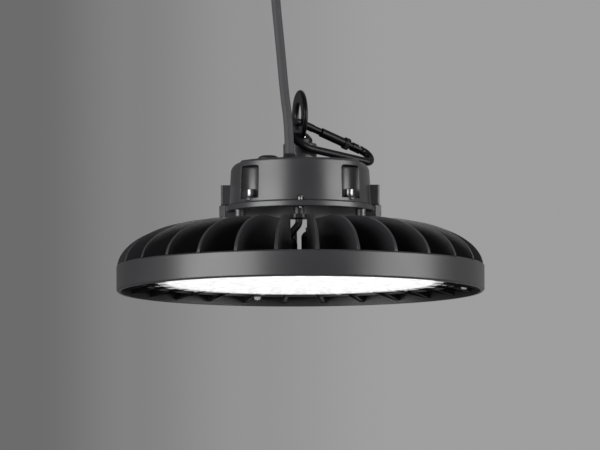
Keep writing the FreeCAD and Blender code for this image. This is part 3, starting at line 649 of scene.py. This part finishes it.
@dataclass
class MainsCable:
    """The mains cable from its gland up to the ceiling fitting."""

    diameter: float = 0.007
    length: float = 0.1455
    route: tuple[Point, ...] = ((-0.008, -0.026, 0.101), (-0.0083, -0.026, 0.124),
                                (-0.0116, -0.026, 0.148), (-0.0144, -0.0256, 0.182),
                                (-0.0185, -0.0252, 0.224), (-0.0197, -0.025, 0.246))

    def build(self, material: bpy.types.Material) -> None:
        """Args:
            material: the sheath's material.
        """
        data = bpy.data.curves.new("mains_sheath", "CURVE")
        data.dimensions = "3D"
        data.bevel_depth = self.diameter / 2
        data.bevel_resolution = 8
        data.resolution_u = 16
        data.use_fill_caps = True
        line = data.splines.new("NURBS")
        line.points.add(len(self.route) - 1)
        for point, at in zip(line.points, self.route):
            point.co = (*at, 1.0)
        line.order_u = 3
        line.use_endpoint_u = True
        data.materials.append(material)
        cable = bpy.data.objects.new("mains_sheath", data)
        bpy.context.scene.collection.objects.link(cable)
        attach(cable, Body.LAMP.value)
        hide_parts("mains_cable")
        LOG.info("mains_sheath: %d points", len(self.route))


# ---------------------------------------------------------------- the lamp's pieces


@dataclass
class LensOptics:
    """Moulded domes on the lens, on the light sources' rings but turned 5 degrees, and fine ones."""

    rings: tuple[tuple[float, int], ...] = ((0.024, 8), (0.046, 16), (0.068, 22), (0.090, 30))
    fine_rings: tuple[tuple[float, int], ...] = ((0.035, 24), (0.057, 38), (0.079, 52), (0.1005, 88))
    dome_r: float = 0.0062
    fine_r: float = 0.0028
    drop: float = 0.0022
    fine_drop: float = 0.0012
    above_face: float = 0.0009

    def build(self, material: bpy.types.Material) -> None:
        """Makes the domes on the lens's lower face.

        Args:
            material: the lens's material.
        """
        low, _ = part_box("lens")
        tree = ring_tree("lens_domes", Shape.DOME, material)
        seat = Matrix.Translation((0.0, 0.0, low[2] + self.above_face))
        kinds = ((self.rings, self.dome_r, self.drop), (self.fine_rings, self.fine_r, self.fine_drop))
        parts = [tree.run({"Count": n, "Radius": r, "Width": width, "Height": height}, seat)
                 for rings, width, height in kinds for r, n in rings]
        keep("lens_domes", joined(parts, material, "lens_domes"), Body.LAMP)


@dataclass
class SleeveKnurl:
    """Straight knurl round the grip of the carabiner's locking sleeve."""

    from_pivot: float = 0.0106
    radius: float = 0.0043
    rib_r: float = 0.00026
    length: float = 0.0038
    count: int = 30

    def build(self, material: bpy.types.Material) -> None:
        """Makes the ribs along the sleeve's axis.

        Args:
            material: the sleeve's material.
        """
        joints = {j["name"]: j for j in frame["joints"]}
        pivot = Vector(joints["gate_hinge"]["pos_m"])
        along = Vector(joints["sleeve_slide"]["axis"]).normalized()
        turn = along.to_track_quat("Z", "Y").to_matrix().to_4x4()
        place = Matrix.Translation(pivot + along * self.from_pivot) @ turn
        tree = ring_tree("knurl_ribs", Shape.RIB, material)
        ribs = tree.run({"Count": self.count, "Radius": self.radius, "Width": self.rib_r,
                         "Height": self.length}, place)
        keep("sleeve_knurl", joined([ribs], material, "sleeve_knurl"), Body.SLEEVE)


@dataclass
class Fins:
    """Fins of the casting: flat tops, an elliptical shoulder and a sloping lower edge."""

    count: int = 28
    phase: float = 5.33
    core_r: float = 0.038
    entry_r: float = 0.064
    root_t: float = 0.0030
    tip_t: float = 0.0019
    top: float = 0.0522
    flat_r: float = 0.071
    crown_z: float = 0.017
    rim_r: float = 0.140
    rim_top: float = 0.020
    wall_in: float = 0.1385
    skirt_r: float = 0.120
    floor_z: float = 0.015
    web_in: float = 0.006
    web_out: float = 0.002
    lip: float = 0.001
    bay_count: int = 2
    arc_steps: int = 22

    def outline(self, inner: float) -> list[tuple[float, float]]:
        """Draws one fin's outline.

        Args:
            inner: radius at which the fin starts.

        Returns:
            Its corners as (radius, height).
        """
        wide, tall = self.rim_r - self.flat_r, self.top - self.crown_z
        last = math.asin((self.rim_top - self.crown_z) / tall)
        steps = range(self.arc_steps + 1)
        turns = [math.pi / 2 + (last - math.pi / 2) * i / self.arc_steps for i in steps]
        shoulder = [(self.flat_r + wide * math.cos(t), self.crown_z + tall * math.sin(t))
                    for t in turns]
        return [(inner, self.floor_z), (inner, self.top)] + shoulder + [
            (self.wall_in, self.rim_top - self.lip), (self.wall_in, self.web_out),
            (self.skirt_r, self.web_in), (self.skirt_r, self.floor_z)]

    def blade(self, inner: float) -> bpy.types.Mesh:
        """Makes one fin along +X, thinner towards its top.

        Args:
            inner: radius at which the fin starts.

        Returns:
            A closed mesh.
        """
        work = bmesh.new()
        sides = []
        for sign in (-1.0, 1.0):
            ring = []
            for r, z in self.outline(inner):
                half = (self.root_t + (self.tip_t - self.root_t) * z / self.top) / 2
                ring.append(work.verts.new((r, sign * half, z)))
            sides.append(ring)
            work.faces.new(ring)
        for i, corner in enumerate(sides[0]):
            j = (i + 1) % len(sides[0])
            work.faces.new((corner, sides[0][j], sides[1][j], sides[1][i]))
        caps = [f for f in work.faces if len(f.verts) > 4]
        bmesh.ops.triangulate(work, faces=caps, ngon_method="EAR_CLIP")
        bmesh.ops.recalc_face_normals(work, faces=work.faces[:])
        mesh = bpy.data.meshes.new("fin")
        work.to_mesh(mesh)
        work.free()
        return mesh

    def build(self, material: bpy.types.Material) -> None:
        """Makes all the fins; the two at the front cable bay start further out.

        Args:
            material: the casting's material.
        """
        tree = array_tree("fin_ring", material)
        step = math.tau / self.count
        first = math.radians(self.phase) - math.pi / 2
        level = Matrix.Identity(4)
        groups = ((self.count - self.bay_count, first + step, self.core_r),
                  (self.bay_count, first - step, self.entry_r))
        fins = [tree.run({"Count": n, "Phase": phase, "Step": step}, level, self.blade(inner))
                for n, phase, inner in groups]
        piece = keep("cooling_fins", joined(fins, material, "cooling_fins"), Body.LAMP)
        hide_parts("heatsink_fins")


@dataclass
class DriverCover:
    """Driver cover: crisp front and back walls, softer sides and four screw channels with roofs."""

    low: float = 0.0656
    top: float = 0.098
    r_low: float = 0.0542
    r_high: float = 0.0528
    side_round: float = 0.0075
    front_round: float = 0.0022
    front_angle: float = 59.0
    boss_r: float = 0.0128
    boss_top: float = 0.113
    shank_r: float = 0.005
    channel_r: float = 0.0105
    channel_pitch: float = 0.0561
    channel_angle: float = 46.7
    channel_top: float = 0.0932
    pad_pitch: float = 0.051
    pad_r: float = 0.0046
    head_r: float = 0.0038
    pad_top: float = 0.0696
    lug_reach: float = 0.0603
    lug_half: float = 0.009
    lug_chamfer: float = 0.001
    lug_top: float = 0.0806
    lug_hole: tuple[float, float, float] = (0.0025, 0.007, 0.073)
    room_r: float = 0.0423
    cable: tuple[float, float, float] = (-0.008, -0.026, 0.0043)
    base_hole: tuple[float, float, float] = (0.00255, 0.0032, 0.0546)
    boss_foot: Profile = ((0.0012, 0.0), (0.0003, 0.0004), (0.0, 0.0014))
    boss_edge: Profile = ((0.0, 0.0012), (0.0004, 0.0003), (0.0012, 0.0))
    channel_edge: Profile = ((0.0, 0.0022), (0.0005, 0.001), (0.0018, 0.0002))
    channel_floor: float = 0.0024
    shank_floor: float = 0.003
    room_roof: float = 0.003
    room_edge: tuple[float, float] = (0.002, 0.004)
    lug_root: float = 0.045
    wedge_size: tuple[float, float] = (0.1, 0.12)
    overlap: float = 0.001
    steps: int = 160
    edge_steps: int = 8

    def shell(self, corner: float, boss: bool) -> bpy.types.Mesh:
        """Turns the cover's outer form.

        Args:
            corner: radius of its top edge.
            boss: whether the raised boss with its bore stands on it.

        Returns:
            A closed mesh.
        """
        turns = [math.radians(90 * i / self.edge_steps) for i in range(self.edge_steps + 1)]
        rim = [(self.r_high - corner + corner * math.cos(t), self.top - corner + corner * math.sin(t))
               for t in turns]
        middle = [(0.0, self.top)]
        if boss:
            foot = [(self.boss_r + r, self.top + z) for r, z in self.boss_foot]
            edge = [(self.boss_r - r, self.boss_top - z) for r, z in self.boss_edge]
            bore_end = self.top + self.shank_floor
            middle = foot + edge + [(self.shank_r, self.boss_top), (self.shank_r, bore_end),
                                    (0.0, bore_end)]
        return lathe([(0.0, self.low), (self.r_low, self.low)] + rim + middle, self.steps, "cover_form")

    def quarters(self) -> list[float]:
        """Returns the four channels' angles."""
        a = self.channel_angle
        return [a, 180 - a, 180 + a, -a]

    def channel(self) -> bpy.types.Mesh:
        """Turns one channel's cutter, which narrows to a soft roof.

        Returns:
            A closed mesh on the axis.
        """
        r, top, floor = self.channel_r, self.channel_top, self.low + self.channel_floor
        edge = [(r - inward, top - down) for inward, down in self.channel_edge]
        return lathe([(0.0, floor), (r, floor)] + edge + [(0.0, top)], 48, "channel")

    def pad(self) -> bpy.types.Mesh:
        """Turns the pad that one screw sits on.

        Returns:
            A closed mesh on the axis.
        """
        sunk = self.low + self.overlap
        return lathe([(0.0, sunk), (self.pad_r, sunk), (self.pad_r, self.low + self.channel_floor),
                      (self.head_r, self.pad_top), (0.0, self.pad_top)], 32, "pad")

    def sectors(self, material: bpy.types.Material) -> bpy.types.Mesh:
        """Makes the two wedges that mark out the crisp walls.

        Args:
            material: the housing's material.

        Returns:
            One mesh with a wedge to the front and one to the back.
        """
        reach, height = self.wedge_size
        edges = [front_at(reach, a) for a in (-self.front_angle, -30, 0, 30, self.front_angle)]
        sides = (edges, [(x, -y) for x, y in edges])
        wedges = [prism([(0.0, 0.0)] + side, 0.0, height, "wedge") for side in sides]
        return joined(wedges, material, "wedges")

    def hollows(self, material: bpy.types.Material) -> bpy.types.Mesh:
        """Makes the cutter for the inside, the cable's hole and the two screw holes in the base.

        Args:
            material: the housing's material.

        Returns:
            A closed mesh.
        """
        bottom, past = self.low - self.overlap, self.top + self.overlap
        inset, shoulder = self.room_edge
        rim, roof = self.top - shoulder, self.top - self.room_roof
        room = lathe([(0.0, bottom), (self.room_r, bottom), (self.room_r, rim),
                      (self.room_r - inset, roof), (0.0, roof)], 96, "room")
        x, y, r = self.cable
        holes = [moved(lathe([(0.0, rim), (r, rim), (r, past), (0.0, past)], 32, "cable_hole"), x, y)]
        r, deep, pitch = self.base_hole
        end = self.low + deep
        holes += [moved(lathe([(0.0, bottom), (r, bottom), (r, end), (0.0, end)], 24, "screw_hole"),
                        0.0, at) for at in (-pitch, pitch)]
        return combined(room, joined(holes, material, "holes"), Cut.JOIN)

    def lug(self, side: float) -> bpy.types.Mesh:
        """Makes the lug on one side, with its cross hole.

        Args:
            side: 1 for +X, -1 for -X.

        Returns:
            A closed mesh.
        """
        half, chamfer, reach, root = self.lug_half, self.lug_chamfer, self.lug_reach, self.lug_root
        block = prism([(side * x, y) for x, y in (
            (root, -half), (reach - chamfer, -half), (reach, chamfer - half), (reach, half - chamfer),
            (reach - chamfer, half), (root, half))], self.low, self.lug_top, "lug")
        r, deep, height = self.lug_hole
        end = deep + self.overlap
        bore = lathe([(0.0, 0.0), (r, 0.0), (r, end), (0.0, end)], 32, "lug_bore")
        bore.transform(Matrix.Translation((side * (reach - deep), 0.0, height))
                       @ Matrix.Rotation(side * math.pi / 2, 4, "Y"))
        return combined(block, bore, Cut.TAKE_AWAY)

    def build(self, material: bpy.types.Material) -> None:
        """Makes the cover, hollow inside, and stands it in for the frame's own.

        Args:
            material: the housing's material.
        """
        crisp = combined(self.shell(self.front_round, False), self.sectors(material), Cut.OVERLAP)
        body = combined(self.shell(self.side_round, True), crisp, Cut.JOIN)
        for side in (-1.0, 1.0):
            body = combined(body, self.lug(side), Cut.JOIN)
        channels = [moved(self.channel(), *front_at(self.channel_pitch, a)) for a in self.quarters()]
        body = combined(body, joined(channels, material, "channels"), Cut.TAKE_AWAY)
        pads = [moved(self.pad(), *front_at(self.pad_pitch, a)) for a in self.quarters()]
        body = combined(body, joined(pads, material, "pads"), Cut.JOIN)
        body = combined(body, self.hollows(material), Cut.TAKE_AWAY)
        piece = keep("cover_shell", joined([body], material, "cover_shell"), Body.LAMP)
        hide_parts("driver_cover")


@dataclass
class CableCollar:
    """Low flared collar that the mains cable leaves the cover through."""

    centre: tuple[float, float] = (-0.008, -0.026)
    base: float = 0.098
    profile: Profile = (
        (0.0, 0.0), (0.0070, 0.0), (0.0070, 0.0005), (0.0064, 0.0009), (0.0055, 0.0016),
        (0.0046, 0.0028), (0.0042, 0.0042), (0.0038, 0.0048), (0.0, 0.0048))

    def build(self, material: bpy.types.Material) -> None:
        """Makes the collar in place of the frame's gland and nut.

        Args:
            material: the collar's material.
        """
        turned = lathe([(r, self.base + z) for r, z in self.profile], 64, "collar")
        piece = keep("cable_collar", joined([moved(turned, *self.centre)], material, "cable_collar"),
                     Body.LAMP)
        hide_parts("mains_gland", "mains_nut")


@dataclass
class SetScrew:
    """Small bright screw that locks the eye bolt's collar."""

    angle: float = 23.0
    height: float = 0.1175
    collar_r: float = 0.0088
    radius: float = 0.0009

    def build(self, material: bpy.types.Material) -> None:
        """Makes the screw's end, with its socket, in the collar's front.

        Args:
            material: the screw's material.
        """
        r = self.radius
        mesh = lathe([(0, -r), (r, -r), (r, 0.0), (r * 0.85, r * 0.2), (r * 0.5, r * 0.2),
                      (r * 0.5, -r * 0.35), (0, -r * 0.35)], 20, "eye_set_screw")
        turn = math.radians(self.angle)
        out = Vector((math.sin(turn), -math.cos(turn), 0.0))
        place = Matrix.Translation(out * self.collar_r + Vector((0, 0, self.height)))
        mesh.transform(place @ out.to_track_quat("Z", "Y").to_matrix().to_4x4())
        keep("eye_set_screw", joined([mesh], material, "eye_set_screw"), Body.LAMP)


@dataclass
class FrameDress:
    """Puts each finish on the frame's own nodes."""

    materials: dict[str, bpy.types.Material]
    own: dict[str, bpy.types.Material]

    def dress(self) -> None:
        """Assigns a material to every node, its own or the one of its slot in the record."""
        for part in frame["record"]["subparts"]:
            piece = frame["nodes"][part["node"]]
            material = self.own.get(part["node"], self.materials[part["material_slot"]])
            if not piece.material_slots:
                piece.data.materials.append(material)
            for place in piece.material_slots:
                place.material = material
            LOG.info("%s wears %s", part["node"], material.name)


# ---------------------------------------------------------------- studio


@dataclass(frozen=True)
class Softbox:
    """One wide soft light: its azimuth in degrees, height, size and power."""

    azimuth: float
    height: float
    wide: float
    tall: float
    power: float


@dataclass
class Studio:
    """A pale floor and backdrop with a wide soft light on each side."""

    floor_z: float = -1.6
    half: float = 14.0
    tone: float = 0.33
    floor_glow: float = 0.8
    shade: float = 0.09
    backdrop_y: float = 1.5
    backdrop_half: float = 2.5
    # painted shade across the backdrop: (x, tone) pairs from its dark side to its light side
    falloff: Profile = ((-0.24, 0.15), (-0.15, 0.22), (-0.05, 0.29), (0.09, 0.345))
    softboxes: tuple[Softbox, ...] = (
        Softbox(-52.0, 0.3, 2.3, 1.3, 78.0), Softbox(65.0, 0.3, 2.0, 1.3, 58.0),
        Softbox(180.0, 2.4, 1.4, 1.0, 8.0))
    lamp_reach: float = 2.4
    lamp_aim: float = 0.06

    def surface(self, name: str, corners: Sequence[Point], graded: bool) -> bpy.types.Object:
        """Makes one flat part of the stage.

        Args:
            name: name of the part.
            corners: its four corners.
            graded: whether its tone falls off to one side, as painted shade.

        Returns:
            The part.
        """
        mesh = bpy.data.meshes.new(name)
        mesh.from_pydata(corners, [], [(0, 1, 2, 3)])
        obj = bpy.data.objects.new(name, mesh)
        bpy.context.scene.collection.objects.link(obj)
        obj.data.materials.append(self.paint(name + "_paint", graded))
        LOG.info("%s stands behind or under the lamp", name)
        return obj

    def seen(self, tree: bpy.types.NodeTree) -> bpy.types.NodeSocket:
        """Adds the mask of rays that see the stage: from the camera, off gloss and through glass.

        Args:
            tree: the tree of the stage's material or of the world.

        Returns:
            A socket that is 1 on such rays.
        """
        path = add(tree, "ShaderNodeLightPath")
        first = add(tree, "ShaderNodeMath", operation="MAXIMUM")
        both = add(tree, "ShaderNodeMath", operation="MAXIMUM")
        link = tree.links.new
        link(path.outputs["Is Camera Ray"], first.inputs[0])
        link(path.outputs["Is Glossy Ray"], first.inputs[1])
        link(first.outputs["Value"], both.inputs[0])
        link(path.outputs["Is Transmission Ray"], both.inputs[1])
        return both.outputs["Value"]

    def grade(self, tree: bpy.types.NodeTree) -> bpy.types.NodeSocket:
        """Adds the backdrop's painted shade, a fall from light to dark towards one side.

        Args:
            tree: the backdrop's material tree.

        Returns:
            A socket with the tone.
        """
        place = add(tree, "ShaderNodeTexCoord")
        split = add(tree, "ShaderNodeSeparateXYZ")
        across = add(tree, "ShaderNodeMapRange")
        low, high = self.falloff[0][0], self.falloff[-1][0]
        across.inputs["From Min"].default_value = low
        across.inputs["From Max"].default_value = high
        ramp = add(tree, "ShaderNodeValToRGB")
        ramp.color_ramp.interpolation = "EASE"
        stops = ramp.color_ramp.elements
        for i, (x, tone) in enumerate(self.falloff):
            at = (x - low) / (high - low)
            ends = {0: stops[0], len(self.falloff) - 1: stops[-1]}
            stop = ends[i] if i in ends else stops.new(at)
            stop.color = (tone, tone, tone, 1.0)
        link = tree.links.new
        link(place.outputs["Object"], split.inputs["Vector"])
        link(split.outputs["X"], across.inputs["Value"])
        link(across.outputs["Result"], ramp.inputs["Fac"])
        return ramp.outputs["Color"]

    def paint(self, name: str, graded: bool) -> bpy.types.Material:
        """Makes the stage's plain paint, which a view from behind sees through.

        Args:
            name: name of the material.
            graded: whether it gives its own tone, falling off to one side as painted shade.

        Returns:
            The material.
        """
        material = bpy.data.materials.new(name)
        material.use_nodes = True
        tree = material.node_tree
        link = tree.links.new
        shader = tree.nodes["Principled BSDF"]
        shader.inputs["Roughness"].default_value = 0.9
        shader.inputs["Emission Strength"].default_value = self.floor_glow
        seen = self.seen(tree)
        for socket, unseen in (("Emission Color", 0.0), ("Base Color", self.shade)):
            blend = add(tree, "ShaderNodeMix", data_type="RGBA")
            blend.inputs["A"].default_value = (unseen, unseen, unseen, 1.0)
            blend.inputs["B"].default_value = (self.tone, self.tone, self.tone, 1.0)
            link(seen, blend.inputs["Factor"])
            link(blend.outputs["Result"], shader.inputs[socket])
        front = shader.outputs[0]
        if graded:
            shown = add(tree, "ShaderNodeEmission")
            pick = add(tree, "ShaderNodeMixShader")
            link(self.grade(tree), shown.inputs["Color"])
            link(seen, pick.inputs[0])
            link(shader.outputs[0], pick.inputs[1])
            link(shown.outputs[0], pick.inputs[2])
            front = pick.outputs[0]
        clear = add(tree, "ShaderNodeBsdfTransparent")
        side = add(tree, "ShaderNodeNewGeometry")
        mix = add(tree, "ShaderNodeMixShader")
        link(side.outputs["Backfacing"], mix.inputs[0])
        link(front, mix.inputs[1])
        link(clear.outputs[0], mix.inputs[2])
        link(mix.outputs[0], tree.nodes["Material Output"].inputs["Surface"])
        return material

    def world(self) -> None:
        """Sets an even pale world for the eye and the gloss, and a darker one for shade."""
        world = bpy.data.worlds.new("studio")
        world.use_nodes = True
        bpy.context.scene.world = world
        tree = world.node_tree
        room = tree.nodes["Background"]
        room.inputs["Color"].default_value = (self.shade, self.shade, self.shade, 1.0)
        shown = add(tree, "ShaderNodeBackground")
        shown.inputs["Color"].default_value = (self.tone, self.tone, self.tone, 1.0)
        mix = add(tree, "ShaderNodeMixShader")
        link = tree.links.new
        link(self.seen(tree), mix.inputs[0])
        link(room.outputs[0], mix.inputs[1])
        link(shown.outputs[0], mix.inputs[2])
        link(mix.outputs[0], tree.nodes["World Output"].inputs["Surface"])

    def lamps(self) -> None:
        """Hangs the soft lights round the object."""
        for i, box in enumerate(self.softboxes):
            data = bpy.data.lights.new(f"softbox_{i}", "AREA")
            data.shape = "RECTANGLE"
            data.size = box.wide
            data.size_y = box.tall
            data.energy = box.power
            lamp = bpy.data.objects.new(f"softbox_{i}", data)
            bpy.context.scene.collection.objects.link(lamp)
            x, y = front_at(self.lamp_reach, box.azimuth)
            at = Vector((x, y, box.height))
            lamp.location = at
            lamp.rotation_mode = "QUATERNION"
            lamp.rotation_quaternion = (at - Vector((0, 0, self.lamp_aim))).to_track_quat("Z", "Y")
            LOG.info("%s hangs at %.0f degrees", lamp.name, box.azimuth)

    def build(self) -> None:
        """Builds floor, backdrop, world and lights, and sets the plain view transform."""
        h, z = self.half, self.floor_z
        self.surface("floor", [(-h, -h, z), (h, -h, z), (h, h, z), (-h, h, z)], False)
        b, y = self.backdrop_half, self.backdrop_y
        self.surface("backdrop", [(-b, y, z), (b, y, z), (b, y, z + 2 * b), (-b, y, z + 2 * b)], True)
        self.world()
        self.lamps()
        bpy.context.scene.view_settings.view_transform = "Standard"


def main() -> None:
    """Builds the scene's parts in order."""
    logging.basicConfig(level=logging.INFO, format="%(name)s %(message)s")
    materials = {slot: finish.make() for slot, finish in FINISHES.items()}
    Camera().build()
    MainsCable().build(materials["cable"])
    FrameDress(materials, {node: finish.make() for node, finish in NODE_FINISHES.items()}).dress()
    Fins().build(materials["casting"])
    DriverCover().build(materials["housing"])
    CableCollar().build(materials["black_plastic"])
    LensOptics().build(materials["lens"])
    SleeveKnurl().build(materials["black_gloss"])
    SetScrew().build(materials["steel"])
    Studio().build()


if __name__ == "__main__":
    main()
